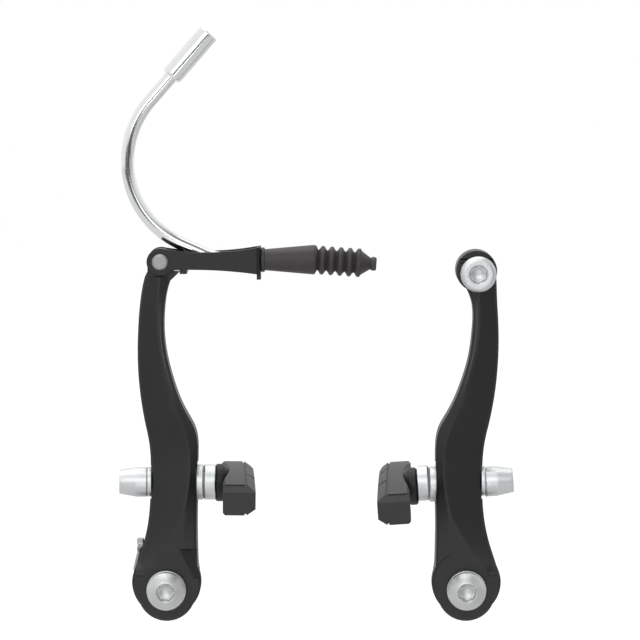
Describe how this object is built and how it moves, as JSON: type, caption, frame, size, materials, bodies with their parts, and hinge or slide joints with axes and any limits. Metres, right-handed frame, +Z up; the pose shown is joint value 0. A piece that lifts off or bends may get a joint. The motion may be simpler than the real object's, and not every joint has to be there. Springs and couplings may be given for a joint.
{
  "type": "linear-pull bicycle brake",
  "caption": "Linear-pull rim brake: sprung black arms with rubber pads on ball-joint washers, a bent cable noodle with its hinged link and rubber boot, and a cable anchor.",
  "frame": {"origin": "midway between the two arm pivots, level with their axes, in the plane of the frame bosses' shoulders", "axes": "+X from the left arm to the right arm, +Y towards the bicycle frame, +Z up along the arms"},
  "size_m": [0.1272, 0.0628, 0.1899],
  "materials": {
    "arm_black": "satin black coat on forged aluminium",
    "link_black": "satin black coat on folded steel sheet",
    "fastener_silver": "bright zinc plating",
    "bush_steel": "plain turned steel",
    "spring_steel": "drawn spring wire",
    "plate_black": "matt moulded",
    "rivet_grey": "dull upset head",
    "noodle_chrome": "polished",
    "boot_rubber": "matt",
    "pad_rubber": "matt moulded"
  },
  "bodies": {
    "frame_side": {"left_pivot_bush": "bush_steel", "left_pivot_washer": "fastener_silver", "left_pivot_bolt": "fastener_silver", "left_spring_plate": "plate_black", "left_return_spring": "spring_steel", "right_pivot_bush": "bush_steel", "right_pivot_washer": "fastener_silver", "right_pivot_bolt": "fastener_silver", "right_spring_plate": "plate_black", "right_return_spring": "spring_steel"},
    "left_arm_side": {"left_arm": "arm_black", "tension_screw": "fastener_silver", "left_cup_washer": "fastener_silver", "left_dome_washer": "fastener_silver", "left_outer_cup_washer": "fastener_silver", "left_outer_dome_washer": "fastener_silver", "left_pad_nut": "fastener_silver", "left_pad_post": "bush_steel", "left_brake_pad": "pad_rubber"},
    "right_arm_side": {"right_arm": "arm_black", "cable_anchor_washer": "fastener_silver", "cable_anchor_bolt": "fastener_silver", "right_cup_washer": "fastener_silver", "right_dome_washer": "fastener_silver", "right_outer_cup_washer": "fastener_silver", "right_outer_dome_washer": "fastener_silver", "right_pad_nut": "fastener_silver", "right_pad_post": "bush_steel", "right_brake_pad": "pad_rubber"},
    "noodle_side": {"noodle_link": "link_black", "link_rivet": "rivet_grey", "noodle_tube": "noodle_chrome", "noodle_ferrule": "noodle_chrome", "rubber_boot": "boot_rubber"}
  },
  "joints": [
    {"name": "left_arm_pivot", "type": "hinge", "parent": "frame_side", "child": "left_arm_side", "pos_m": [-0.048, -0.009, 0], "axis": [0, 1, 0], "range_deg": [-35, 6], "stiffness_Nm_per_rad": 0.8, "deforming": ["left_return_spring"]},
    {"name": "right_arm_pivot", "type": "hinge", "parent": "frame_side", "child": "right_arm_side", "pos_m": [0.048, -0.009, 0], "axis": [0, -1, 0], "range_deg": [-35, 6], "stiffness_Nm_per_rad": 0.8, "deforming": ["right_return_spring"]},
    {"name": "noodle_link_hinge", "type": "hinge", "parent": "left_arm_side", "child": "noodle_side", "pos_m": [-0.0497, -0.009, 0.1048], "axis": [0, -1, 0], "range_deg": [0, 75]}
  ]
}
